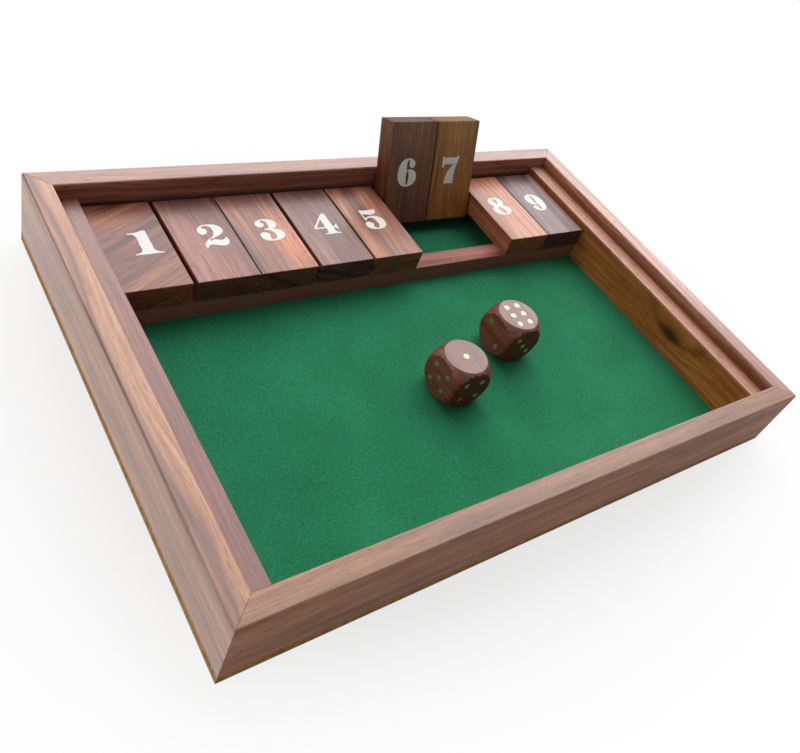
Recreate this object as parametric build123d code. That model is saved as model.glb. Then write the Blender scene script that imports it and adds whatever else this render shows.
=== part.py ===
from build123d import *
import math
import os

# Shut the box: an open hardwood tray with nine number tiles hinged on one rod, and two dice.
# Sizes are in millimetres. X runs along the row of tiles, Y from the player to the back, Z up.
# The origin is the centre of the underside.

# Tray: four mitred rails on a plywood board, with green baize under the board
TRAY_WIDTH = 305.0
TRAY_DEPTH = 212.0
RAIL_THICKNESS = 9.5
RAIL_HEIGHT = 30.8
RAIL_EDGE_RADIUS = 0.9
BOARD_THICKNESS = 3.6
BAIZE_THICKNESS = 0.6
FELT_THICKNESS = 0.8

# Cheeks: inner side strips that carry the hinge rod; their tops are a ledge below the rim
CHEEK_THICKNESS = 9.3
LEDGE_DROP = 6.8
CHEEK_EDGE_RADIUS = 0.5

# Hinge rod
ROD_DIAMETER = 3.2
ROD_SEAT_CLEARANCE = 0.04
ROD_END_GAP = 0.3

# Number tiles and the bar that their front ends rest on.
# The gaps are listed from the left cheek to the right one, so there is one more gap than tiles.
TILE_LENGTH = 54.0
TILE_THICKNESS = 11.2
TILE_ARRIS = 0.6
TILE_BORE_CLEARANCE = 0.08
PIVOT_FROM_BACK = 9.5
TILE_BACK_GAP = 2.2
TILE_LEAN_GAP = 0.1
TILE_GAPS = (0.9, 1.9, 0.3, 1.7, 1.1, 1.7, 0.7, 1.6, 0.5, 1.4)
RAISED_TILES = (6, 7)
REST_HEIGHT = 8.8
REST_THICKNESS = 9.8
REST_SETBACK = 0.4
REST_EDGE_RADIUS = 0.5

# Dice: a cube cut by a sphere, so that every face is a disc, with inlaid brass pips.
# Each die's counts are those of its top, front and left faces.
DIE_SIDE = 22.0
DIE_BALL_RADIUS = 14.9
PIP_DIAMETER = 2.8
PIP_DEPTH = 1.4
PIP_RECESS = 0.05
PIP_CLEARANCE = 0.02
PIP_SPREAD = 4.4
PIP_ROW_SPACING = 6.6
PIP_ROW_PITCH = 5.6
OPPOSITE_FACES_COUNT = 7
NEAR_DIE_COUNTS = (1, 4, 5)
FAR_DIE_COUNTS = (6, 3, 2)
NEAR_DIE_PLACE = (-8.0, -28.5)
FAR_DIE_PLACE = (37.0, -12.0)

# Panel pins that hold the board to the rails from below, hidden by the baize
PIN_DIAMETER = 1.4
PIN_LENGTH = 14.0
PIN_HEAD_DIAMETER = 2.8
PIN_HEAD_THICKNESS = 0.7
PIN_CLEARANCE = 0.02
PIN_CORNER_INSET = 32.0
PINS_PER_LONG_RAIL = 3
PINS_PER_SIDE_RAIL = 2

# Small round pieces and their holes have this many sides, which keeps the many of them light
SMALL_ROUND_SIDE_COUNT = 10

# Levels, from the surface that the tray stands on
board_bottom = BAIZE_THICKNESS
board_top = board_bottom + BOARD_THICKNESS
felt_top = board_top + FELT_THICKNESS
rim = board_top + RAIL_HEIGHT
ledge = rim - LEDGE_DROP
rest_top = felt_top + REST_HEIGHT
pivot_z = rest_top + TILE_THICKNESS / 2

# Places across the tray
inner_width = TRAY_WIDTH - 2 * (RAIL_THICKNESS + CHEEK_THICKNESS)
inner_depth = TRAY_DEPTH - 2 * RAIL_THICKNESS
cheek_face = inner_width / 2
tile_count = len(TILE_GAPS[1:])
tile_width = (inner_width - sum(TILE_GAPS)) / tile_count

# Places from front to back
back_wall = inner_depth / 2
tile_back = back_wall - TILE_BACK_GAP
tile_front = tile_back - TILE_LENGTH
pivot_y = tile_back - PIVOT_FROM_BACK
rest_front = tile_front + REST_SETBACK

# Distance of each pip's inner end from the die's centre
pip_seat = DIE_SIDE / 2 - PIP_RECESS - PIP_DEPTH

# A raised tile leans with its face on the rounded inner edge of the back rail
lean_dy = back_wall + RAIL_EDGE_RADIUS - pivot_y
lean_dz = rim - RAIL_EDGE_RADIUS - pivot_z
lean_reach = TILE_THICKNESS / 2 + RAIL_EDGE_RADIUS + TILE_LEAN_GAP
raised_angle = math.degrees(
    math.atan2(lean_dy, lean_dz) + math.acos(lean_reach / math.hypot(lean_dy, lean_dz))
)


def block(x_span, y_span, z_span):
    """A rectangular bar between two values on each axis."""
    spans = (x_span, y_span, z_span)
    size = [high - low for low, high in spans]
    centre = [(low + high) / 2 for low, high in spans]
    return Pos(*centre) * Box(*size)


def edges_along(solid, axis, z_low):
    """The edges parallel to an axis whose centres lie above a level."""
    return [edge for edge in solid.edges().filter_by(axis) if edge.center().Z > z_low]


def small_round(radius, height):
    """A pip, pin or hole: a many-sided prism standing on the origin."""
    return extrude(RegularPolygon(radius, SMALL_ROUND_SIDE_COUNT), height)


def rod_along_x(radius, x_low, x_high):
    """A round bar on the hinge line."""
    place = Plane(origin=(x_low, pivot_y, pivot_z), z_dir=(1, 0, 0))
    return extrude(place * Circle(radius), x_high - x_low)


def pin_places(length, count):
    """Pin positions along a rail of the given length, evenly spaced between its corner insets."""
    first = -length / 2 + PIN_CORNER_INSET
    pitch = (length - 2 * PIN_CORNER_INSET) / (count - 1)
    return [first + pitch * index for index in range(count)]


def all_pin_places():
    """Pin positions under the four rails."""
    rail_y = TRAY_DEPTH / 2 - RAIL_THICKNESS / 2
    rail_x = TRAY_WIDTH / 2 - RAIL_THICKNESS / 2
    long_rails = [(x, side * rail_y) for side in (-1, 1) for x in pin_places(TRAY_WIDTH, PINS_PER_LONG_RAIL)]
    side_rails = [(side * rail_x, y) for side in (-1, 1) for y in pin_places(TRAY_DEPTH, PINS_PER_SIDE_RAIL)]
    return long_rails + side_rails


def pin(x, y, clearance=0.0):
    """One panel pin, head down and flush with the board's underside, or the hole that it sits in."""
    head = small_round(PIN_HEAD_DIAMETER / 2 + clearance, PIN_HEAD_THICKNESS + clearance)
    shank = small_round(PIN_DIAMETER / 2 + clearance, PIN_LENGTH + clearance)
    return Pos(x, y, board_bottom) * (head + shank)


def with_pin_holes(solid):
    """The solid drilled for every pin that reaches it."""
    for x, y in all_pin_places():
        solid = solid - pin(x, y, PIN_CLEARANCE)
    return solid


def rail(length, offset, turn):
    """A mitred rail with its outer face at an offset from the centre, turned about Z to its side."""
    outer = -offset
    inner = outer + RAIL_THICKNESS
    bar = block((-length / 2, length / 2), (outer, inner), (board_top, rim))
    bar = fillet(edges_along(bar, Axis.X, (board_top + rim) / 2), RAIL_EDGE_RADIUS)
    mitred_plan = Polyline(
        (-length / 2, outer),
        (length / 2, outer),
        (length / 2 - RAIL_THICKNESS, inner),
        (-length / 2 + RAIL_THICKNESS, inner),
        close=True,
    )
    bar = bar & Pos(0, 0, board_top) * extrude(make_face(mitred_plan), RAIL_HEIGHT)
    return with_pin_holes(Rot(0, 0, turn) * bar)


def board():
    """The plywood base board, flush with the rails' outer faces."""
    x_span = (-TRAY_WIDTH / 2, TRAY_WIDTH / 2)
    y_span = (-TRAY_DEPTH / 2, TRAY_DEPTH / 2)
    return with_pin_holes(block(x_span, y_span, (board_bottom, board_top)))


def under_baize():
    """The baize glued under the board."""
    return block((-TRAY_WIDTH / 2, TRAY_WIDTH / 2), (-TRAY_DEPTH / 2, TRAY_DEPTH / 2), (0, board_bottom))


def felt_lining():
    """The felt laid on the board between the cheeks and the front and back rails."""
    return block((-cheek_face, cheek_face), (-back_wall, back_wall), (board_top, felt_top))


def cheek(side):
    """An inner side strip, drilled through for the hinge rod. Side is -1 for left and 1 for right."""
    x_span = sorted((side * cheek_face, side * (cheek_face + CHEEK_THICKNESS)))
    strip = block(x_span, (-back_wall, back_wall), (board_top, ledge))
    inner_edge = [
        edge
        for edge in edges_along(strip, Axis.Y, (board_top + ledge) / 2)
        if abs(edge.center().X) < cheek_face + CHEEK_THICKNESS / 2
    ]
    strip = fillet(inner_edge, CHEEK_EDGE_RADIUS)
    return strip - rod_along_x(ROD_DIAMETER / 2 + ROD_SEAT_CLEARANCE, *x_span)


def tile_rest():
    """The bar across the felt that the tiles' front ends lie on."""
    bar = block((-cheek_face, cheek_face), (rest_front, rest_front + REST_THICKNESS), (felt_top, rest_top))
    return fillet(edges_along(bar, Axis.X, (felt_top + rest_top) / 2), REST_EDGE_RADIUS)


def hinge_rod():
    """The steel rod through both cheeks and all the tiles."""
    end = cheek_face + CHEEK_THICKNESS - ROD_END_GAP
    return rod_along_x(ROD_DIAMETER / 2, -end, end)


def tile_left(number):
    """The left side of a tile, counted from the left cheek."""
    return -cheek_face + sum(TILE_GAPS[:number]) + (number - 1) * tile_width


def number_tile(number):
    """A number tile with broken arrises and a cross bore, lying flat or leaning back if it is raised."""
    left = tile_left(number)
    x_span = (left, left + tile_width)
    tile = block(x_span, (tile_front, tile_back), (rest_top, rest_top + TILE_THICKNESS))
    tile = chamfer(tile.edges(), TILE_ARRIS)
    tile = tile - rod_along_x(ROD_DIAMETER / 2 + TILE_BORE_CLEARANCE, *x_span)
    if number in RAISED_TILES:
        hinge = Axis((0, pivot_y, pivot_z), (-1, 0, 0))
        tile = tile.rotate(hinge, raised_angle)
    return tile


def pip_layout(count):
    """Pip places on a face, as offsets from its centre."""
    near, far = -PIP_SPREAD, PIP_SPREAD
    centre = [(0, 0)]
    diagonal = [(near, far), (far, near)]
    corners = diagonal + [(near, near), (far, far)]
    row_x = PIP_ROW_SPACING / 2
    rows = [(x, y) for x in (-row_x, row_x) for y in (-PIP_ROW_PITCH, 0, PIP_ROW_PITCH)]
    layouts = {1: centre, 2: diagonal, 3: diagonal + centre, 4: corners, 5: corners + centre, 6: rows}
    return layouts[count]


def face_discs(faces, radius, seat, height):
    """A disc for every pip of a die at the origin, rising from a distance off the die's centre."""
    discs = []
    for normal, x_dir, count in faces:
        face = Plane(origin=Vector(*normal) * seat, x_dir=x_dir, z_dir=normal)
        for u, v in pip_layout(count):
            discs.append(face * Pos(u, v, 0) * small_round(radius, height))
    return discs


def die_faces(top, front, left):
    """Each face's outward normal, its own x direction and its pip count."""
    return [
        ((0, 0, 1), (1, 0, 0), top),
        ((0, 0, -1), (1, 0, 0), OPPOSITE_FACES_COUNT - top),
        ((0, -1, 0), (1, 0, 0), front),
        ((0, 1, 0), (-1, 0, 0), OPPOSITE_FACES_COUNT - front),
        ((-1, 0, 0), (0, -1, 0), left),
        ((1, 0, 0), (0, 1, 0), OPPOSITE_FACES_COUNT - left),
    ]


def die_place(place):
    """A die's centre, resting on the felt."""
    return Pos(place[0], place[1], felt_top + DIE_SIDE / 2)


def die(place, faces):
    """A wooden die with a blind hole for every pip."""
    body = Box(DIE_SIDE, DIE_SIDE, DIE_SIDE) & Sphere(DIE_BALL_RADIUS)
    hole_radius = PIP_DIAMETER / 2 + PIP_CLEARANCE
    for hole in face_discs(faces, hole_radius, pip_seat, DIE_SIDE / 2 - pip_seat):
        body = body - hole
    return die_place(place) * body


def inlays(place, faces):
    """All the brass pips of a die, a hair below its faces."""
    return die_place(place) * Compound(children=face_discs(faces, PIP_DIAMETER / 2, pip_seat, PIP_DEPTH))


near_faces = die_faces(*NEAR_DIE_COUNTS)
far_faces = die_faces(*FAR_DIE_COUNTS)

nodes = {
    "front_rail": rail(TRAY_WIDTH, TRAY_DEPTH / 2, 0),
    "right_rail": rail(TRAY_DEPTH, TRAY_WIDTH / 2, 90),
    "back_rail": rail(TRAY_WIDTH, TRAY_DEPTH / 2, 180),
    "left_rail": rail(TRAY_DEPTH, TRAY_WIDTH / 2, 270),
    "left_cheek": cheek(-1),
    "right_cheek": cheek(1),
    "base_board": board(),
    "base_baize": under_baize(),
    "felt_lining": felt_lining(),
    "tile_rest": tile_rest(),
    "hinge_rod": hinge_rod(),
    "base_pins": Compound(children=[pin(x, y) for x, y in all_pin_places()]),
    "die_near": die(NEAR_DIE_PLACE, near_faces),
    "die_near_pips": inlays(NEAR_DIE_PLACE, near_faces),
    "die_far": die(FAR_DIE_PLACE, far_faces),
    "die_far_pips": inlays(FAR_DIE_PLACE, far_faces),
}
for digit in range(1, tile_count + 1):
    nodes[f"number_tile_{digit}"] = number_tile(digit)

os.makedirs("parts", exist_ok=True)
for name, solid in nodes.items():
    export_step(solid, f"parts/{name}.step")

print(f"raised angle {raised_angle:.4f} degrees, pivot y {pivot_y:.3f} z {pivot_z:.3f}")
print(f"tile width {tile_width:.3f}, rim {rim:.2f}, felt {felt_top:.2f}, rest top {rest_top:.2f}")
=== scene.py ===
import math
import bmesh
import bpy
from mathutils import Euler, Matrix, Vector


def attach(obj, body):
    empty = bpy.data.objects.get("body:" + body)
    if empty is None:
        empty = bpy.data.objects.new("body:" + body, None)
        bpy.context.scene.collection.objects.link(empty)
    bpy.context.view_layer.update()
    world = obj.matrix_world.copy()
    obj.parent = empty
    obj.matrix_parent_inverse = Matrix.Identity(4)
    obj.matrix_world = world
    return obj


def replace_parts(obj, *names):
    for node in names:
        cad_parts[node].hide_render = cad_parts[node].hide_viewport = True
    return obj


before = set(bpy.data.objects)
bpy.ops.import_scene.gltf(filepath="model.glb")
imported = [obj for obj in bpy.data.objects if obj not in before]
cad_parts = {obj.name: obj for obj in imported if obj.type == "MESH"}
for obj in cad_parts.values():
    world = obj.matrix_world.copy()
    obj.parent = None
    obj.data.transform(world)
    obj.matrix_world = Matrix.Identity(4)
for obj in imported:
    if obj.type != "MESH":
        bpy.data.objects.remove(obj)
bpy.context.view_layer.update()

scene = bpy.context.scene
scene.view_settings.view_transform = "Standard"

# --- Camera ---------------------------------------------------------------------------------
# The player's view from the front left corner, close above the tray and rolled, as a hand-held
# picture is. The small shift only centres the tray in the frame.
bpy.ops.object.select_all(action="DESELECT")
bpy.ops.object.camera_add(location=(-0.22704, -0.18359, 0.25081))
camera = bpy.context.object
# Turned right of straight ahead, tilted down, and rolled about its own line of sight.
yaw, pitch, roll = math.radians(51.38), math.radians(-40.63), math.radians(26.13)
camera.rotation_euler = (
    Euler((math.pi / 2 + pitch, 0, -yaw)).to_matrix() @ Euler((0, 0, roll)).to_matrix()
).to_euler()
FILM_WIDTH = 36
FOCAL_LENGTH = 797.6  # in the pixels of a picture 800 wide
camera.data.sensor_width = FILM_WIDTH
camera.data.lens = FILM_WIDTH * FOCAL_LENGTH / 800
camera.data.shift_x = -0.0375
camera.data.shift_y = -0.033
camera.data.clip_start = 0.01
scene.camera = camera

# --- Floor and studio light -----------------------------------------------------------------
# A white table top that runs into the white room. A wide soft window behind the tray on the right
# gives the tops their shine, and two weak soft panels at the left and low in front fill the sides.
MM = 0.001


def linear(code):
    """An sRGB hex colour as linear RGBA."""
    channels = [int(code[i:i + 2], 16) / 255 for i in (1, 3, 5)]
    return [c / 12.92 if c <= 0.04045 else ((c + 0.055) / 1.055) ** 2.4 for c in channels] + [1]


def add_node(tree, kind, inputs=None, stops=None, **settings):
    """Adds a node with its settings, its colour stops if it is a ramp, and its links or values."""
    node = tree.nodes.new(kind)
    for name, value in settings.items():
        setattr(node, name, value)
    if stops:
        elements = node.color_ramp.elements
        elements.remove(elements[1])
        elements[0].position = stops[0][0]
        for position, _ in stops[1:]:
            elements.new(position)
        for element, (_, colour) in zip(elements, stops):
            element.color = linear(colour)
    for socket, value in (inputs or {}).items():
        if isinstance(value, bpy.types.NodeSocket):
            tree.links.new(value, node.inputs[socket])
        else:
            node.inputs[socket].default_value = value
    return node


def new_material(name):
    """An empty node material and its tree."""
    material = bpy.data.materials.new(name)
    material.use_nodes = True
    material.node_tree.nodes.clear()
    return material, material.node_tree


def seen_plainly(tree):
    """Is 1 for what the camera sees, also in a mirror or through glass, and 0 for other light."""
    path = add_node(tree, "ShaderNodeLightPath")
    seen = path.outputs["Is Camera Ray"]
    for ray in ("Is Glossy Ray", "Is Transmission Ray"):
        either = add_node(tree, "ShaderNodeMath", {
            0: seen, 1: path.outputs[ray]}, operation="MAXIMUM")
        seen = either.outputs["Value"]
    return seen


# It lies a hair below the baize, so that the two don't share a plane.
TABLE_SIZE = 12
TABLE_DROP = 0.2 * MM
bpy.ops.object.select_all(action="DESELECT")
bpy.ops.mesh.primitive_grid_add(
    x_subdivisions=24, y_subdivisions=24, size=TABLE_SIZE, location=(0, 0, -TABLE_DROP))
floor = bpy.context.object
floor.name = "table_top"
bpy.ops.object.transform_apply(location=True, rotation=True, scale=True)

# Painted board, matt white. Near the tray it keeps the soft shadow, and from there it turns into
# the plain white of the room. The shadow ends in an oval, as the tray is oblong.
paint, tree = new_material("painted_board")
place = add_node(tree, "ShaderNodeTexCoord")
around = add_node(tree, "ShaderNodeVectorMath", {
    0: place.outputs["Object"], 1: (1, 1.35, 0)}, operation="MULTIPLY")
distance = add_node(tree, "ShaderNodeVectorMath", {
    0: around.outputs["Vector"]}, operation="LENGTH")
fade = add_node(tree, "ShaderNodeMapRange", {
    "Value": distance.outputs["Value"], "From Min": 0.155, "From Max": 0.27, "To Min": 0.76,
    "To Max": 1.0,
}, interpolation_type="SMOOTHSTEP")
matt = add_node(tree, "ShaderNodeBsdfDiffuse", {"Color": linear("#f2f2f3")})
glow = add_node(tree, "ShaderNodeEmission", {"Color": linear("#ffffff"), "Strength": 1.0})
bright = add_node(tree, "ShaderNodeMixShader", {
    0: fade.outputs["Result"], 1: matt.outputs["BSDF"], 2: glow.outputs["Emission"]})
shade = add_node(tree, "ShaderNodeMixShader", {
    0: seen_plainly(tree), 1: matt.outputs["BSDF"], 2: bright.outputs["Shader"]})
add_node(tree, "ShaderNodeOutputMaterial", {"Surface": shade.outputs["Shader"]})
floor.data.materials.append(paint)

# The room looks plain white and gives only a little light of its own.
room = bpy.data.worlds.new("white_room")
room.use_nodes = True
tree = room.node_tree
tree.nodes.clear()
strength = add_node(tree, "ShaderNodeMapRange", {
    "Value": seen_plainly(tree), "To Min": 0.08, "To Max": 1.0})
air = add_node(tree, "ShaderNodeBackground", {
    "Color": linear("#ffffff"), "Strength": strength.outputs["Result"]})
add_node(tree, "ShaderNodeOutputWorld", {"Surface": air.outputs["Background"]})
scene.world = room


def soft_panel(name, place, size, power, colour):
    """A soft rectangular light of a width and a height, aimed at the middle of the tray."""
    bpy.ops.object.select_all(action="DESELECT")
    bpy.ops.object.light_add(type="AREA", location=place)
    lamp = bpy.context.object
    lamp.name = name
    aim = Vector((0, 0, 0.01)) - Vector(place)
    lamp.rotation_euler = aim.to_track_quat("-Z", "Y").to_euler()
    lamp.data.shape = "RECTANGLE"
    lamp.data.size, lamp.data.size_y = size
    lamp.data.energy = power
    lamp.data.color = linear(colour)[:3]


soft_panel("window", (0.64, 0.93, 1.25), (2.5, 2.0), 48, "#ffffff")
soft_panel("left_fill", (-1.5, 0.3, 0.6), (1.2, 1.0), 8, "#fffaf4")
soft_panel("front_fill", (-0.3, -1.4, 0.16), (2.0, 0.3), 1.7, "#fff6ec")

# --- Base board -----------------------------------------------------------------------------
# Three-ply birch board under the frame, flush with the rails, so its sawn edge shows as a pale
# stripe. Its shape is that of the CAD node.
BAIZE = 0.6 * MM
BOARD_TOP = 4.2 * MM


def dress(node, material):
    """Gives a CAD node its material."""
    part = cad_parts[node]
    part.data.materials.clear()
    part.data.materials.append(material)


# Birch plywood, sawn: a pale edge with a browner core ply and saw marks across it.
plywood, tree = new_material("birch_plywood")
place = add_node(tree, "ShaderNodeTexCoord")
height = add_node(tree, "ShaderNodeSeparateXYZ", {"Vector": place.outputs["Object"]})
ply = add_node(tree, "ShaderNodeMapRange", {
    "Value": height.outputs["Z"], "From Min": BAIZE, "From Max": BOARD_TOP})
plies = add_node(tree, "ShaderNodeValToRGB", {"Fac": ply.outputs["Result"]}, stops=[
    (0.00, "#e2bc88"), (0.31, "#dcb27c"), (0.35, "#96704e"), (0.38, "#c89a66"),
    (0.64, "#c0905c"), (0.68, "#8e6a48"), (0.72, "#e0b880"), (1.00, "#d2a66e")])
sawn = add_node(tree, "ShaderNodeMapping", {
    "Vector": place.outputs["Object"], "Scale": (900, 900, 120)})
marks = add_node(tree, "ShaderNodeTexNoise", {
    "Vector": sawn.outputs["Vector"], "Scale": 1.0, "Detail": 3.0})
shading = add_node(tree, "ShaderNodeValToRGB", {"Fac": marks.outputs["Fac"]}, stops=[
    (0.30, "#b8a898"), (0.60, "#ffffff")])
edge_colour = add_node(tree, "ShaderNodeMix", {
    0: 0.7, 6: plies.outputs["Color"], 7: shading.outputs["Color"]}, data_type="RGBA",
    blend_type="MULTIPLY")
bump = add_node(tree, "ShaderNodeBump", {
    "Height": marks.outputs["Fac"], "Strength": 0.4, "Distance": 0.1 * MM})
surface = add_node(tree, "ShaderNodeBsdfPrincipled", {
    "Base Color": edge_colour.outputs[2], "Roughness": 0.8, "Specular IOR Level": 0.0,
    "Normal": bump.outputs["Normal"]})
add_node(tree, "ShaderNodeOutputMaterial", {"Surface": surface.outputs["BSDF"]})
dress("base_board", plywood)

# --- Mitred rails ---------------------------------------------------------------------------
# Four sheesham (Indian rosewood) rails, mitred and glued at the corners, planed and oiled. Their
# top edges are rounded by hand and the joints show as hairlines.


def rosewood(name, colours, turn, heart, ring, sway, streak=0.5, polished=(0, 0, 1), marks=()):
    """Sheesham, planed and oiled. Colours run from the dark lines to the light wood and then to
    the tint of the wandering bands. Turn brings the fibres onto Y, heart is the middle of the
    growth rings in millimetres, ring the width of a layer and sway how far it wanders. The faces
    that look along polished are waxed. A mark is a patch with a place and a radius in millimetres,
    a colour, its strength and how far it pushes the layers aside, as a knot does. Some marks are
    grain and some are painted shade or painted highlights."""
    dark, mid, light, band = colours
    material, tree = new_material(name)
    place = add_node(tree, "ShaderNodeTexCoord")
    sized = add_node(tree, "ShaderNodeMapping", {
        "Vector": place.outputs["Object"], "Scale": (1000, 1000, 1000)})
    board = add_node(tree, "ShaderNodeMapping", {
        "Vector": sized.outputs["Vector"], "Rotation": [math.radians(a) for a in turn],
        "Location": [-h for h in heart]})
    # The layers wander over about 30 mm across the board and six times that along it.
    drawn = add_node(tree, "ShaderNodeMapping", {
        "Vector": board.outputs["Vector"], "Scale": (1, 0.16, 1)})
    wander = add_node(tree, "ShaderNodeTexNoise", {
        "Vector": drawn.outputs["Vector"], "Scale": 1 / 30, "Detail": 2.0, "Roughness": 0.5})
    middled = add_node(tree, "ShaderNodeVectorMath", {
        0: wander.outputs["Color"], 1: (0.5, 0.5, 0.5)}, operation="SUBTRACT")
    swayed = add_node(tree, "ShaderNodeVectorMath", {
        0: middled.outputs["Vector"], "Scale": sway}, operation="SCALE")
    bent = add_node(tree, "ShaderNodeVectorMath", {
        0: drawn.outputs["Vector"], 1: swayed.outputs["Vector"]}, operation="ADD")
    across = add_node(tree, "ShaderNodeVectorMath", {
        0: bent.outputs["Vector"], 1: (1, 0.05, 1)}, operation="MULTIPLY")
    depth = add_node(tree, "ShaderNodeVectorMath", {
        0: across.outputs["Vector"]}, operation="LENGTH").outputs["Value"]
    patches = []
    for spot, radius, tint, strength, push in marks:
        gap = add_node(tree, "ShaderNodeVectorMath", {
            0: sized.outputs["Vector"], 1: spot}, operation="SUBTRACT")
        gap = add_node(tree, "ShaderNodeVectorMath", {
            0: gap.outputs["Vector"], 1: [1 / r for r in radius]}, operation="MULTIPLY")
        gap = add_node(tree, "ShaderNodeVectorMath", {
            0: gap.outputs["Vector"]}, operation="LENGTH")
        if push:
            shove = add_node(tree, "ShaderNodeMapRange", {
                "Value": gap.outputs["Value"], "From Max": 3.0, "To Min": push, "To Max": 0.0},
                interpolation_type="SMOOTHSTEP")
            depth = add_node(tree, "ShaderNodeMath", {
                0: depth, 1: shove.outputs["Result"]}).outputs["Value"]
        patches.append((add_node(tree, "ShaderNodeMapRange", {
            "Value": gap.outputs["Value"], "From Min": 0.2, "To Min": strength, "To Max": 0.0},
            interpolation_type="SMOOTHSTEP").outputs["Result"], tint))
    # Layers of uneven width, as the tree grew them.
    layers = add_node(tree, "ShaderNodeTexNoise", {
        "W": depth, "Scale": 1 / ring, "Detail": 3.0, "Roughness": 0.55}, noise_dimensions="1D")
    lines = add_node(tree, "ShaderNodeValToRGB", {"Fac": layers.outputs["Fac"]}, stops=[
        (0.28, dark), (0.43, mid), (0.58, light), (0.74, mid)])
    # Broad bands of another tint, 20 mm and more across.
    broad = add_node(tree, "ShaderNodeTexNoise", {
        "Vector": bent.outputs["Vector"], "Scale": 1 / 18, "Detail": 3.0, "Roughness": 0.55})
    share = add_node(tree, "ShaderNodeMapRange", {
        "Value": broad.outputs["Fac"], "From Min": 0.40, "From Max": 0.64, "To Max": 0.65,
    }, interpolation_type="SMOOTHSTEP")
    colour = add_node(tree, "ShaderNodeMix", {
        0: share.outputs["Result"], 6: lines.outputs["Color"], 7: linear(band)}, data_type="RGBA")
    for patch, tint in patches:
        colour = add_node(tree, "ShaderNodeMix", {
            0: patch, 6: colour.outputs[2], 7: linear(tint)}, data_type="RGBA")
    # End grain drinks more oil, so it is darker and plainer.
    grain_normal = add_node(tree, "ShaderNodeMapping", {
        "Vector": place.outputs["Normal"], "Rotation": [math.radians(a) for a in turn]},
        vector_type="VECTOR")
    along = add_node(tree, "ShaderNodeVectorMath", {
        0: grain_normal.outputs["Vector"]}, operation="ABSOLUTE")
    along = add_node(tree, "ShaderNodeSeparateXYZ", {"Vector": along.outputs["Vector"]})
    end_grain = add_node(tree, "ShaderNodeMapRange", {
        "Value": along.outputs["Y"], "From Min": 0.6, "From Max": 0.95, "To Max": 0.62})
    colour = add_node(tree, "ShaderNodeMix", {
        0: end_grain.outputs["Result"], 6: colour.outputs[2], 7: linear(dark)}, data_type="RGBA")
    # Fibre streaks about 1 mm wide and 30 mm long.
    fibre_place = add_node(tree, "ShaderNodeMapping", {
        "Vector": bent.outputs["Vector"], "Scale": (1, 0.2, 1)})
    fibres = add_node(tree, "ShaderNodeTexNoise", {
        "Vector": fibre_place.outputs["Vector"], "Scale": 0.95, "Detail": 4.0, "Roughness": 0.65})
    fibre_shade = add_node(tree, "ShaderNodeValToRGB", {"Fac": fibres.outputs["Fac"]}, stops=[
        (0.32, "#7c6a64"), (0.46, "#cfc5c0"), (0.62, "#ffffff")])
    colour = add_node(tree, "ShaderNodeMix", {
        0: streak, 6: colour.outputs[2], 7: fibre_shade.outputs["Color"]}, data_type="RGBA",
        blend_type="MULTIPLY")
    # Pores are 0.2 mm wide; they are drawn 0.4 mm wide and 6 mm long, so that they show.
    pore_place = add_node(tree, "ShaderNodeMapping", {
        "Vector": board.outputs["Vector"], "Scale": (1, 0.07, 1)})
    pores = add_node(tree, "ShaderNodeTexNoise", {
        "Vector": pore_place.outputs["Vector"], "Scale": 2.4, "Detail": 1.0})
    pore = add_node(tree, "ShaderNodeMapRange", {
        "Value": pores.outputs["Fac"], "From Min": 0.60, "From Max": 0.70})
    pore_share = add_node(tree, "ShaderNodeMath", {
        0: pore.outputs["Result"], 1: 0.6}, operation="MULTIPLY")
    colour = add_node(tree, "ShaderNodeMix", {
        0: pore_share.outputs["Value"], 6: colour.outputs[2], 7: linear(dark)}, data_type="RGBA")
    # Oiled faces are soft; the waxed ones, which hands rub, have a gloss on top.
    rough = add_node(tree, "ShaderNodeMapRange", {
        "Value": fibres.outputs["Fac"], "From Min": 0.3, "From Max": 0.7, "To Min": 0.62,
        "To Max": 0.5})
    facing = add_node(tree, "ShaderNodeVectorMath", {
        0: place.outputs["Normal"]}, operation="ABSOLUTE")
    facing = add_node(tree, "ShaderNodeVectorMath", {
        0: facing.outputs["Vector"], 1: polished}, operation="DOT_PRODUCT")
    wax = add_node(tree, "ShaderNodeMapRange", {
        "Value": facing.outputs["Value"], "From Min": 0.3, "From Max": 0.9},
        interpolation_type="SMOOTHSTEP")
    hollow = add_node(tree, "ShaderNodeMath", {
        0: fibres.outputs["Fac"], 1: pore.outputs["Result"]}, operation="SUBTRACT")
    bump = add_node(tree, "ShaderNodeBump", {
        "Height": hollow.outputs["Value"], "Strength": 0.35, "Distance": 0.06 * MM})
    surface = add_node(tree, "ShaderNodeBsdfPrincipled", {
        "Base Color": colour.outputs[2], "Roughness": rough.outputs["Result"],
        "Normal": bump.outputs["Normal"], "IOR": 1.5, "Specular IOR Level": 0.15,
        "Coat Weight": wax.outputs["Result"], "Coat Roughness": 0.32, "Coat IOR": 1.5})
    add_node(tree, "ShaderNodeOutputMaterial", {"Surface": surface.outputs["BSDF"]})
    return material


def bar(name, low, high):
    """A squared bar between two corners, as the start of a piece."""
    bpy.ops.object.select_all(action="DESELECT")
    bpy.ops.mesh.primitive_cube_add(size=1, location=[(a + b) / 2 for a, b in zip(low, high)])
    piece = bpy.context.object
    piece.name = name
    piece.scale = [b - a for a, b in zip(low, high)]
    bpy.ops.object.transform_apply(location=True, rotation=True, scale=True)
    return piece


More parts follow.
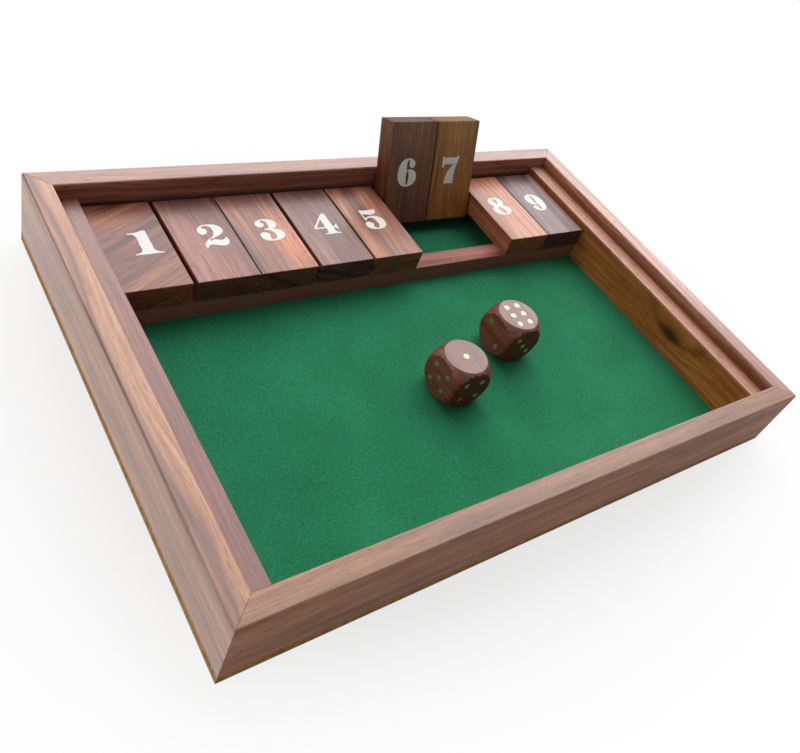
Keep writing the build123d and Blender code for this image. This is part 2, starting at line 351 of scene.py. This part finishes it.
def round_edges(piece, test, radius, segments):
    """Rounds the edges that pass a test on their two end points."""
    bpy.ops.object.mode_set(mode="EDIT")
    bpy.ops.mesh.select_mode(type="EDGE")
    bpy.ops.mesh.select_all(action="DESELECT")
    mesh = bmesh.from_edit_mesh(piece.data)
    for edge in mesh.edges:
        edge.select_set(test(edge.verts[0].co, edge.verts[1].co))
    bmesh.update_edit_mesh(piece.data)
    bpy.ops.mesh.bevel(offset=radius, segments=segments, profile=0.5, clamp_overlap=True)
    bpy.ops.object.mode_set(mode="OBJECT")


def ease(piece, width):
    """Takes the sharpness off every edge that is still square."""
    bpy.ops.object.modifier_add(type="BEVEL")
    easing = piece.modifiers[-1]
    easing.width = width
    easing.segments = 2
    easing.limit_method = "ANGLE"
    easing.angle_limit = math.radians(32)
    bpy.ops.object.modifier_apply(modifier=easing.name)


def smooth(piece, angle):
    """Smooths the shading across edges flatter than an angle in degrees; broad faces stay flat."""
    bpy.ops.object.shade_smooth_by_angle(angle=math.radians(angle))
    bpy.ops.object.modifier_add(type="WEIGHTED_NORMAL")
    bpy.ops.object.modifier_apply(modifier=piece.modifiers[-1].name)


RIM = 35.0 * MM
RAIL = 9.5 * MM
WIDTH = 305 * MM
DEPTH = 212 * MM
RIM_ROUNDING = 0.9 * MM


def mitred_rail(name, length, offset, turn, material):
    """One rail, cut at 45 degrees at both ends, made at the front and turned to its side."""
    piece = bar(name, (-length / 2, -offset, BOARD_TOP), (length / 2, -offset + RAIL, RIM))
    bpy.ops.object.mode_set(mode="EDIT")
    for side in (-1, 1):
        bpy.ops.mesh.select_all(action="SELECT")
        bpy.ops.mesh.bisect(
            plane_co=(side * length / 2, -offset, 0), plane_no=(side, 1, 0), use_fill=True,
            clear_outer=True)
    bpy.ops.object.mode_set(mode="OBJECT")
    round_edges(
        piece,
        lambda a, b: a.z > RIM - MM and b.z > RIM - MM and abs(a.y - b.y) < 1e-6,
        RIM_ROUNDING, 4)
    piece.rotation_euler.z = math.radians(turn)
    bpy.ops.object.transform_apply(rotation=True)
    ease(piece, 0.14 * MM)
    smooth(piece, 35)
    piece.data.materials.append(material)
    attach(piece, "tray")
    return piece


# Each rail is cut from another board. The front one has darker streaks along it, and the right one
# has a darker stripe on its inner wall under the rim, which is painted shade.
front_wood = rosewood(
    "sheesham_front", ("#4e2f20", "#96603f", "#b07a54", "#7c5440"), (0, 0, 90), (-38, 20, -30),
    7.5, 14,
    marks=[((-95, -106, 11), (75, 8, 4), "#573525", 0.55, 0),
           ((70, -106, 24), (60, 8, 4), "#6a4433", 0.5, 0)])
left_wood = rosewood(
    "sheesham_left", ("#68443a", "#b27a5c", "#d8a074", "#93706a"), (0, 0, 0), (-172, 0, 62),
    6.0, 20,
    polished=(1, 0, 1))
right_wood = rosewood(
    "sheesham_right", ("#70463a", "#bc8268", "#d8a486", "#a4746a"), (0, 0, 0), (190, 0, 10),
    6.0, 14,
    # The dark stripe on the right rail's inner wall, under the rim and above the ledge, is painted
    # shade.
    marks=[((143, 0, 28.5), (3, 900, 5.5), "#7c4c30", 0.9, 0)])
back_wood = rosewood(
    "sheesham_back", ("#4e2e26", "#9c6452", "#b98674", "#8a5a50"), (0, 0, 90), (-120, 40, 70),
    6.5, 16)

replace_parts(mitred_rail("rail_front", WIDTH, DEPTH / 2, 0, front_wood), "front_rail")
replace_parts(mitred_rail("rail_right", DEPTH, WIDTH / 2, 90, right_wood), "right_rail")
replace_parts(mitred_rail("rail_back", WIDTH, DEPTH / 2, 180, back_wood), "back_rail")
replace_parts(mitred_rail("rail_left", DEPTH, WIDTH / 2, 270, left_wood), "left_rail")

# --- Cheeks ---------------------------------------------------------------------------------
# Inner sheesham strips along the left and right rails. They carry the hinge rod, and their tops
# are a ledge a little below the rim.
left_cheek_wood = rosewood(
    "sheesham_left_cheek", ("#54302a", "#945850", "#a86e62", "#7c5048"), (0, 0, 0),
    (-190, 15, -30), 6.0, 10)
right_cheek_wood = rosewood(
    "sheesham_right_cheek", ("#522f14", "#b46e36", "#cc8a48", "#985e28"), (0, 0, 0),
    (175, 40, -22), 8.0, 18,
    marks=[((133.7, -40, 18), (7, 13, 6), "#2e1a0e", 0.85, 9),
           ((133.7, -5, 20), (30, 34, 12), "#b06c3a", 0.5, 0),
           # The pale strip along the top of the ledge and over its rounded inner edge is a painted
           # highlight.
           ((138, 0, 29), (12, 600, 3.5), "#e0a890", 1.0, 0)])
dress("left_cheek", left_cheek_wood)
dress("right_cheek", right_cheek_wood)

# --- Felt lining ----------------------------------------------------------------------------
# Pressed green wool felt, glued flat on the board inside the tray and also under the tiles. Cut
# from one sheet of 267.4 by 193 mm.
FELT_TOP = 5.0 * MM


def cloth_sheet(name, width, depth, top, thickness, cell):
    """A flat sheet of cloth in cells of one size, with its thickness below its top."""
    bpy.ops.object.select_all(action="DESELECT")
    bpy.ops.mesh.primitive_grid_add(
        x_subdivisions=round(width / cell), y_subdivisions=round(depth / cell), size=1,
        location=(0, 0, top))
    piece = bpy.context.object
    piece.name = name
    piece.scale = (width, depth, 1)
    bpy.ops.object.transform_apply(location=True, rotation=True, scale=True)
    bpy.ops.object.modifier_add(type="SOLIDIFY")
    piece.modifiers[-1].thickness = thickness
    piece.modifiers[-1].offset = -1
    bpy.ops.object.modifier_apply(modifier=piece.modifiers[-1].name)
    bpy.ops.object.shade_smooth_by_angle(angle=math.radians(40))
    return piece


def felt(name, shades, grit):
    """Pressed wool felt: quite matt, and mottled by its fibres, which lie in all directions.
    Shades run from dark to light, and grit is the width of a tuft in millimetres."""
    material, tree = new_material(name)
    place = add_node(tree, "ShaderNodeTexCoord")
    sized = add_node(tree, "ShaderNodeMapping", {
        "Vector": place.outputs["Object"], "Scale": (1000, 1000, 1000)})
    # Fibres are 0.02 mm thick; their tufts are drawn 0.6 mm and wider, so that they show.
    tufts = add_node(tree, "ShaderNodeTexNoise", {
        "Vector": sized.outputs["Vector"], "Scale": 1 / grit, "Detail": 3.0, "Roughness": 0.7})
    patches = add_node(tree, "ShaderNodeTexNoise", {
        "Vector": sized.outputs["Vector"], "Scale": 1 / 30, "Detail": 2.0})
    both = add_node(tree, "ShaderNodeMix", {
        0: 0.25, 2: tufts.outputs["Fac"], 3: patches.outputs["Fac"]}, data_type="FLOAT")
    colour = add_node(tree, "ShaderNodeValToRGB", {"Fac": both.outputs[0]}, stops=[
        (0.30, shades[0]), (0.50, shades[1]), (0.70, shades[2])])
    bump = add_node(tree, "ShaderNodeBump", {
        "Height": tufts.outputs["Fac"], "Strength": 0.5, "Distance": 0.15 * MM})
    surface = add_node(tree, "ShaderNodeBsdfPrincipled", {
        "Base Color": colour.outputs["Color"], "Roughness": 0.95, "Specular IOR Level": 0.2,
        "Sheen Weight": 0.05, "Sheen Roughness": 0.5, "Normal": bump.outputs["Normal"]})
    add_node(tree, "ShaderNodeOutputMaterial", {"Surface": surface.outputs["BSDF"]})
    return material


lining = cloth_sheet("felt_sheet", 267.4 * MM, 193 * MM, FELT_TOP, FELT_TOP - BOARD_TOP, 4 * MM)
lining.data.materials.append(felt("green_wool_felt", ("#14613f", "#217a54", "#2f9069"), 0.8))
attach(lining, "tray")
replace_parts(lining, "felt_lining")

# --- Baize under the board ------------------------------------------------------------------
# Thin green baize, glued under the plywood over the pin heads, so that the tray doesn't scratch
# a table. Only its edge shows, as a dark green line.
under = cloth_sheet("baize_sheet", WIDTH, DEPTH, BAIZE, BAIZE, 6 * MM)
under.data.materials.append(felt("green_baize", ("#38553f", "#4a6a4e", "#5c7d5e"), 0.6))
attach(under, "tray")
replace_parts(under, "base_baize")

# --- Panel pins -----------------------------------------------------------------------------
# Bright steel wire pins, driven up through the board into the rails. The baize is glued over
# their heads, so none of them shows.


def steel(name, colour, roughness):
    """Drawn steel wire: fine lines run along it, so its roughness and height vary across."""
    material, tree = new_material(name)
    place = add_node(tree, "ShaderNodeTexCoord")
    drawn = add_node(tree, "ShaderNodeMapping", {
        "Vector": place.outputs["Object"], "Scale": (60, 4000, 4000)})
    scratches = add_node(tree, "ShaderNodeTexNoise", {
        "Vector": drawn.outputs["Vector"], "Scale": 1.0, "Detail": 2.0})
    rough = add_node(tree, "ShaderNodeMapRange", {
        "Value": scratches.outputs["Fac"], "To Min": roughness - 0.08, "To Max": roughness + 0.1})
    bump = add_node(tree, "ShaderNodeBump", {
        "Height": scratches.outputs["Fac"], "Strength": 0.2, "Distance": 0.01 * MM})
    surface = add_node(tree, "ShaderNodeBsdfPrincipled", {
        "Base Color": linear(colour), "Metallic": 1.0, "Roughness": rough.outputs["Result"],
        "Normal": bump.outputs["Normal"]})
    add_node(tree, "ShaderNodeOutputMaterial", {"Surface": surface.outputs["BSDF"]})
    return material


dress("base_pins", steel("bright_steel_wire", "#b4b4b6", 0.35))

# --- Tile rest ------------------------------------------------------------------------------
# A square sheesham bar, planed and glued across the felt between the cheeks. The front ends of
# the tiles lie on it.
rest_wood = rosewood(
    "sheesham_rest", ("#74463c", "#b47266", "#c48478", "#a4665c"), (0, 0, 90), (60, 10, -40),
    7.0, 8,
    streak=0.4, polished=(0, 0, 0.4))
dress("tile_rest", rest_wood)

# --- Hinge rod ------------------------------------------------------------------------------
# A drawn steel rod, 3.2 mm thick. It runs through all nine tiles and is held in both cheeks, and
# it shows only in the gaps between the tiles.
dress("hinge_rod", steel("drawn_steel_rod", "#c0c0c2", 0.28))

# --- Number tiles ---------------------------------------------------------------------------
# Nine sheesham tiles, cut from several boards, their edges sanded round and drilled across for
# the rod. Six and seven are raised and lean back on the rail.
TILE_WIDTH = 28.4 * MM
TILE_LENGTH = 54 * MM
TILE_THICKNESS = 11.2 * MM
TILE_LOW = 13.8 * MM
TILE_BACK = 94.3 * MM
TILE_EDGE = 0.4 * MM
BORE_RADIUS = 1.68 * MM
PIVOT = (0, 84.8 * MM, 19.4 * MM)
RAISED = (6, 7)
RAISED_ANGLE = math.radians(110.6701)
# The left side of each tile, in millimetres: the gaps between them are uneven.
TILE_LEFT = [-132.8, -102.5, -73.8, -43.7, -14.2, 15.9, 45.0, 75.0, 103.9]


def select_only(piece):
    """Selects one piece and makes it the active one."""
    bpy.ops.object.select_all(action="DESELECT")
    piece.select_set(True)
    bpy.context.view_layer.objects.active = piece


def raise_tile(piece):
    """Turns a piece of a raised tile about the hinge rod, back onto the rail."""
    select_only(piece)
    pivot = Vector(PIVOT)
    turn = Euler((-RAISED_ANGLE, 0, 0))
    piece.rotation_euler = turn
    piece.location = pivot - turn.to_matrix() @ pivot
    bpy.ops.object.transform_apply(location=True, rotation=True, scale=True)


def cut_away(piece, tool):
    """Cuts the tool's shape out of a piece."""
    select_only(piece)
    bpy.ops.object.modifier_add(type="BOOLEAN")
    piece.modifiers[-1].operation = "DIFFERENCE"
    piece.modifiers[-1].object = tool
    bpy.ops.object.modifier_apply(modifier=piece.modifiers[-1].name)
    bpy.data.objects.remove(tool)


# The wood of each tile: its four colours, its turn, heart, ring and sway.
tile_looks = {
    1: (("#4a2819", "#945543", "#b0725a", "#704238"), (0, 0, 62), (-30, -60, -45), 9.0, 24),
    2: (("#38201b", "#90564a", "#bd8070", "#6a3c36"), (0, 0, 0), (-104, 0, -60), 4.0, 9),
    3: (("#38201b", "#965948", "#c48468", "#7c4a3e"), (0, 0, 0), (-104, 0, -60), 4.0, 9),
    4: (("#382326", "#8e5c58", "#ac7e72", "#684442"), (0, 0, 0), (-60, 0, -70), 3.5, 8),
    5: (("#6e4230", "#ae6e54", "#d6946e", "#946050"), (0, 0, 4), (20, 0, -50), 5.5, 12),
    6: (("#301a10", "#6a3e26", "#805030", "#503020"), (110.67, 0, 0), (60, 0, 40), 5.0, 8),
    7: (("#54320f", "#a66c2c", "#bf8840", "#85561f"), (110.67, 0, 0), (62, 0, 52), 6.5, 14),
    8: (("#7c4028", "#c47652", "#e6a27e", "#aa684c"), (0, 0, 0), (130, 0, -60), 4.5, 8),
    9: (("#36201f", "#82595c", "#9e7672", "#5f4042"), (0, 0, 3), (150, 0, -45), 6.0, 12),
}
# Patches of another colour on single tiles: lighter wood on tiles 1 and 5, and a chip at the edge
# of tile 1. The dark patches at the back of tiles 2, 3, 4 and 9 are painted shade, where the back
# rail keeps the light off; the orange patch in front on tile 3 is a painted highlight; and the
# lighter raised ends of tiles 6 and 7 are painted sheen, the haze of light they catch.
tile_grain_and_painted_light = {
    1: [((-126, 84, 25), (16, 10, 20), "#b56a3a", 0.7, 0),
        ((-104.3, 82.5, 25), (0.9, 1.6, 1.0), "#e8cdb4", 1.0, 0)],
    # The dark patches at the back of tiles 2, 3, 4 and 9 are painted shade, where the back rail keeps
    # the light off.
    2: [((-90, 92, 25), (20, 14, 20), "#4f2f2a", 0.6, 0)],
    # On tile 3 the orange patch in front is a painted highlight, and the dark one at the back painted
    # shade.
    3: [((-50, 60, 25), (11, 28, 20), "#e88e5c", 0.95, 0),
        ((-60, 92, 25), (18, 14, 20), "#5a3428", 0.6, 0)],
    # Painted shade at the back of tile 4.
    4: [((-24, 92, 25), (12, 10, 20), "#4a2e2c", 0.6, 0)],
    5: [((-8, 50, 25), (6, 26, 20), "#c07c4e", 0.6, 0)],
    # The light patches on the raised ends of tiles 6 and 7 are painted sheen.
    6: [((30, 108, 64), (20, 60, 26), "#9a745c", 0.85, 0)],
    7: [((60, 108, 62), (20, 60, 26), "#cc9c5c", 0.7, 5)],
    # Painted shade at the back of tile 9.
    9: [((122, 88, 25), (8, 8, 20), "#46282c", 0.6, 0)],
}

for digit in range(1, 10):
    left = TILE_LEFT[digit - 1] * MM
    tile = bar(
        f"tile_{digit}_wood",
        (left, TILE_BACK - TILE_LENGTH, TILE_LOW),
        (left + TILE_WIDTH, TILE_BACK, TILE_LOW + TILE_THICKNESS))
    round_edges(tile, lambda a, b: True, TILE_EDGE, 3)
    bpy.ops.object.select_all(action="DESELECT")
    bpy.ops.mesh.primitive_cylinder_add(
        vertices=32, radius=BORE_RADIUS, depth=TILE_WIDTH + 4 * MM,
        location=(left + TILE_WIDTH / 2, PIVOT[1], PIVOT[2]), rotation=(0, math.pi / 2, 0))
    cut_away(tile, bpy.context.object)
    if digit in RAISED:
        raise_tile(tile)
    smooth(tile, 40)
    # A tile's two broad faces are waxed. Those of a raised tile lean back.
    lean = RAISED_ANGLE if digit in RAISED else 0
    tile.data.materials.append(rosewood(
        f"sheesham_tile_{digit}", *tile_looks[digit], streak=0.75,
        polished=(0, 0.7 * math.sin(lean), 0.7 * math.cos(lean)), marks=tile_grain_and_painted_light.get(digit, [])))
    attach(tile, f"tile_{digit}")
    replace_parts(tile, f"number_tile_{digit}")

# --- Numerals -------------------------------------------------------------------------------
# White numbers in a fat face, about 15 mm high, screen-printed on both faces of every tile. The
# upper one reads from the front when its tile is down, the lower one when it is raised.

# Each outline is drawn on a field 100 high: s is a smooth point and c a corner. A 9 is a 6
# turned round.
numeral_outlines = {
    1: [
        "c0,0 c80,0 c80,4.5 s67,7 s58,17 s57.5,40 c57.5,100 c46,100 s30,94.5 c4,92 c4,87"
        " s17,86.5 s23.5,78 s23.5,40 s23,17 s14,7 c0,4.5",
    ],
    2: [
        "s4,70 s11,90 s40,100 s70,93 s82,73 s72,55 s46,40 s27,29 s40,31.5 s58,27 s69,28"
        " c77,36 c81,36 s82,18 s69,2 s50,2 s27,10 s13,6 c9,-2 c4,-2 s5,14 s17,29 s40,46"
        " s50,68 s46,89 s33,95 s21,89 s32,76 s26,61 s14,57",
    ],
    3: [
        "s6,76 s13,93 s38,100 s66,94 s76,76 s66,59 c55,53 s74,45 s84,27 s68,5 s36,-1 s10,5"
        " s1,22 s8,37 s21,40 s34,28 s30,15 s33,6 s42,5 s51,13 s53,27 s47,43 s35,49 c26,49"
        " c26,54 s35,54.5 s44,61 s47,76 s43,91 s34,95 s26,91 s34,80 s27,66 s15,64",
    ],
    4: [
        "c55,100 c69,100 c69,35 s76,36 c83,46 c86,46 c86,20 c83,20 s76,29 c69,29.5 s69,14"
        " s74,6 c84,4.5 c84,0 c26,0 c26,4.5 s37,6 s41,14 c41,29 c0,29 c0,35",
        "c41,35 c9,35 c41,74",
    ],
    5: [
        "c12,100 s28,97.5 s52,97.5 c76,100 s74,86 s62,76 s36,74 c16,80 c16,57 s30,64 s46,66"
        " s73,58 s83,33 s70,7 s38,-1 s10,5 s1,22 s8,36 s21,39 s33,27 s29,14 s33,6 s42,5"
        " s50,13 s53,33 s47,53 s36,58 s24,55 c16,47 c11,47",
    ],
    6: [
        "s42,100 s61,96 s72.5,84 s70,71 s58.5,66 s49,72 s48,84 s44.5,94.5 s39,90 s37,76"
        " c38.5,57 s50,61 s68,57 s80,44 s82,28 s73,10 s56,1 s41,-1 s20,5 s5,22 s0,48 s5,74"
        " s19,93",
        "s43,56 s47.5,45 s48,27 s46,10 s42.5,4.5 s39,11 s37,28 s38,46",
    ],
    7: [
        "c3,100 c8,100 s14,96.5 s40,96.5 s68,96.5 c75,100 c80,100 c80,93 s69,64 s63,40 c62,0"
        " c20,0 s23,22 s35,48 c59,73 s48,70 s30,72 s14,69 c9,60 c3,60",
    ],
    8: [
        "s42,100 s66,95 s77,78 s72,62 c62,54 s78,45 s84,27 s72,7 s42,-1 s12,7 s0,26 s6,42"
        " c20,51 s10,62 s6,76 s16,93",
        "s41,95 s49,87 s50,72 s46,62 s38,67 s33,80 s34,91",
        "s38,47 s48,40 s55,25 s53,9 s45,4.5 s36,12 s31,28 s32,41",
    ],
}
NUMERAL_HEIGHT = 14.8 * MM
PAINT = 0.04 * MM
# How far in front of the back end of a tile the middle of its number lies.
TOP_FROM_BACK = 26.2 * MM
UNDER_FROM_BACK = 27.8 * MM
# The numbers were printed in one go on a closed row, so across the spaced row they drift to the
# right of the middle of a tile by this many millimetres.
numeral_drift = {1: 3.7, 2: 3.2, 3: 2.1, 4: 0.8, 5: -0.2, 6: -0.9, 7: -1.7, 8: -2.6, 9: -1.8}
under_drift = {**numeral_drift, 6: -2.3, 7: -2.7}

# Screen ink: a thin, slightly speckled off-white film, less shiny than the oiled wood.
ink, tree = new_material("white_screen_ink")
place = add_node(tree, "ShaderNodeTexCoord")
sized = add_node(tree, "ShaderNodeMapping", {
    "Vector": place.outputs["Object"], "Scale": (1000, 1000, 1000)})
speckle = add_node(tree, "ShaderNodeTexNoise", {
    "Vector": sized.outputs["Vector"], "Scale": 1.6, "Detail": 3.0, "Roughness": 0.7})
white = add_node(tree, "ShaderNodeValToRGB", {"Fac": speckle.outputs["Fac"]}, stops=[
    (0.30, "#d6d3cb"), (0.50, "#f0efec"), (0.70, "#f7f7f5")])
bump = add_node(tree, "ShaderNodeBump", {
    "Height": speckle.outputs["Fac"], "Strength": 0.2, "Distance": 0.02 * MM})
surface = add_node(tree, "ShaderNodeBsdfPrincipled", {
    "Base Color": white.outputs["Color"], "Roughness": 0.55, "Normal": bump.outputs["Normal"]})
add_node(tree, "ShaderNodeOutputMaterial", {"Surface": surface.outputs["BSDF"]})


def numeral(digit, name):
    """A printed number as a thin flat piece, centred on the origin and facing up. Its outlines
    are about 0.82 wide for a height of one."""
    shape = bpy.data.curves.new(name, "CURVE")
    shape.dimensions = "2D"
    shape.fill_mode = "BOTH"
    shape.resolution_u = 5
    for outline in numeral_outlines[6 if digit == 9 else digit]:
        marks = outline.split()
        spline = shape.splines.new("BEZIER")
        spline.bezier_points.add(len(marks) - 1)
        spline.use_cyclic_u = True
        for mark, point in zip(marks, spline.bezier_points):
            x, y = (float(v) / 100 for v in mark[1:].split(","))
            point.co = (x - 0.41, y - 0.5, 0)
            kind = "AUTO" if mark[0] == "s" else "VECTOR"
            point.handle_left_type = kind
            point.handle_right_type = kind
    shape.extrude = 0.5
    piece = bpy.data.objects.new(name, shape)
    scene.collection.objects.link(piece)
    select_only(piece)
    bpy.ops.object.convert(target="MESH")
    piece.scale = (NUMERAL_HEIGHT, NUMERAL_HEIGHT, PAINT)
    if digit == 9:
        piece.rotation_euler.z = math.pi
    bpy.ops.object.transform_apply(location=True, rotation=True, scale=True)
    return piece


for digit in range(1, 10):
    middle = TILE_LEFT[digit - 1] * MM + TILE_WIDTH / 2
    for side in ("top", "under"):
        piece = numeral(digit, f"numeral_{digit}_{side}")
        if side == "top":
            drift = numeral_drift[digit]
            piece.location = (
                middle + drift * MM, TILE_BACK - TOP_FROM_BACK, TILE_LOW + TILE_THICKNESS + PAINT / 2)
        else:
            drift = under_drift[digit]
            piece.rotation_euler.x = math.pi
            piece.location = (
                middle + drift * MM, TILE_BACK - UNDER_FROM_BACK, TILE_LOW - PAINT / 2)
        bpy.ops.object.transform_apply(location=True, rotation=True, scale=True)
        if digit in RAISED:
            raise_tile(piece)
        piece.data.materials.append(ink)
        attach(piece, f"tile_{digit}")

# --- Dice -----------------------------------------------------------------------------------
# Two turned sheesham dice, each a ball cut by a cube, so every face is a flat disc. Their pips
# are short brass rods, set in and sanded flush.
DIE_HALF = 11 * MM
BALL = 14.9 * MM
DIE_EDGE = 0.3 * MM
PIP_RADIUS = 1.4 * MM
PIP_LENGTH = 1.4 * MM
PIP_DEPTH = 0.68 * MM
# Where the dice lie, in millimetres, and the counts on their top, front and left faces.
dice_places = {"near": (-8.0, -28.5), "far": (37.0, -12.0)}
die_counts = {"near": (1, 4, 5), "far": (6, 3, 2)}
# The pips of a face, in millimetres from its middle.
pip_spots = {
    1: [(0, 0)],
    2: [(-4.4, 4.4), (4.4, -4.4)],
    3: [(-4.4, 4.4), (0, 0), (4.4, -4.4)],
    4: [(-4.4, -4.4), (-4.4, 4.4), (4.4, -4.4), (4.4, 4.4)],
    5: [(-4.4, -4.4), (-4.4, 4.4), (4.4, -4.4), (4.4, 4.4), (0, 0)],
    6: [(-3.3, -5.6), (-3.3, 0), (-3.3, 5.6), (3.3, -5.6), (3.3, 0), (3.3, 5.6)],
}

# Brass, sanded: pale yellow with fine scratches, tarnished a little darker in places.
brass, tree = new_material("sanded_brass")
place = add_node(tree, "ShaderNodeTexCoord")
sized = add_node(tree, "ShaderNodeMapping", {
    "Vector": place.outputs["Object"], "Scale": (1000, 1000, 1000)})
tarnish = add_node(tree, "ShaderNodeTexNoise", {
    "Vector": sized.outputs["Vector"], "Scale": 0.9, "Detail": 2.0})
tone = add_node(tree, "ShaderNodeValToRGB", {"Fac": tarnish.outputs["Fac"]}, stops=[
    (0.30, "#b39566"), (0.70, "#dcc79a")])
scratches = add_node(tree, "ShaderNodeTexNoise", {
    "Vector": sized.outputs["Vector"], "Scale": 6.0, "Detail": 2.0})
bump = add_node(tree, "ShaderNodeBump", {
    "Height": scratches.outputs["Fac"], "Strength": 0.3, "Distance": 0.01 * MM})
surface = add_node(tree, "ShaderNodeBsdfPrincipled", {
    "Base Color": tone.outputs["Color"], "Metallic": 1.0, "Roughness": 0.38,
    "Normal": bump.outputs["Normal"]})
add_node(tree, "ShaderNodeOutputMaterial", {"Surface": surface.outputs["BSDF"]})

for which, (x, y) in dice_places.items():
    centre = Vector((x * MM, y * MM, FELT_TOP + DIE_HALF))
    bpy.ops.object.select_all(action="DESELECT")
    bpy.ops.mesh.primitive_uv_sphere_add(segments=96, ring_count=48, radius=BALL, location=centre)
    die = bpy.context.object
    die.name = f"die_{which}_wood"
    bpy.ops.object.transform_apply(location=True, rotation=True, scale=True)
    bpy.ops.object.mode_set(mode="EDIT")
    for axis in range(3):
        for side in (-1, 1):
            normal = Vector([side if i == axis else 0 for i in range(3)])
            bpy.ops.mesh.select_all(action="SELECT")
            bpy.ops.mesh.bisect(
                plane_co=centre + normal * DIE_HALF, plane_no=normal, use_fill=True,
                clear_outer=True)
    bpy.ops.object.mode_set(mode="OBJECT")
    round_edges(
        die,
        lambda a, b: any(
            abs(abs((a - centre)[i]) - DIE_HALF) < 1e-6
            and abs(abs((b - centre)[i]) - DIE_HALF) < 1e-6
            for i in range(3)),
        DIE_EDGE, 2)
    smooth(die, 40)
    # The two dice are cut from different places of a plank.
    heart = (x + (14 if which == "near" else -16), 0, 40)
    die.data.materials.append(rosewood(
        f"sheesham_die_{which}", ("#54301f", "#7e4a39", "#8e5846", "#6c4030"), (0, 0, 0), heart,
        4.5, 5, streak=0.35))
    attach(die, f"die_{which}")
    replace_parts(die, f"die_{which}")

    # Faces by their normal, the way across them and their count; opposite ones sum to seven.
    top, front, left = die_counts[which]
    faces = [
        ((0, 0, 1), (1, 0, 0), top), ((0, 0, -1), (1, 0, 0), 7 - top),
        ((0, -1, 0), (1, 0, 0), front), ((0, 1, 0), (-1, 0, 0), 7 - front),
        ((-1, 0, 0), (0, -1, 0), left), ((1, 0, 0), (0, 1, 0), 7 - left),
    ]
    plugs = []
    for normal, across, count in faces:
        normal, across = Vector(normal), Vector(across)
        upward = normal.cross(across)
        for u, v in pip_spots[count]:
            spot = centre + normal * (DIE_HALF - PIP_DEPTH) + (across * u + upward * v) * MM
            bpy.ops.object.select_all(action="DESELECT")
            bpy.ops.mesh.primitive_cylinder_add(
                vertices=24, radius=PIP_RADIUS, depth=PIP_LENGTH, location=spot,
                rotation=normal.to_track_quat("Z", "Y").to_euler())
            plug = bpy.context.object
            bpy.ops.object.transform_apply(location=True, rotation=True, scale=True)
            bpy.ops.object.modifier_add(type="BEVEL")
            plug.modifiers[-1].width = 0.12 * MM
            plug.modifiers[-1].segments = 2
            bpy.ops.object.modifier_apply(modifier=plug.modifiers[-1].name)
            plugs.append(plug)
    bpy.ops.object.select_all(action="DESELECT")
    for plug in plugs:
        plug.select_set(True)
    bpy.context.view_layer.objects.active = plugs[0]
    bpy.ops.object.join()
    pips = bpy.context.object
    pips.name = f"die_{which}_brass"
    bpy.ops.object.shade_smooth_by_angle(angle=math.radians(40))
    pips.data.materials.append(brass)
    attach(pips, f"die_{which}")
    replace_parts(pips, f"die_{which}_pips")
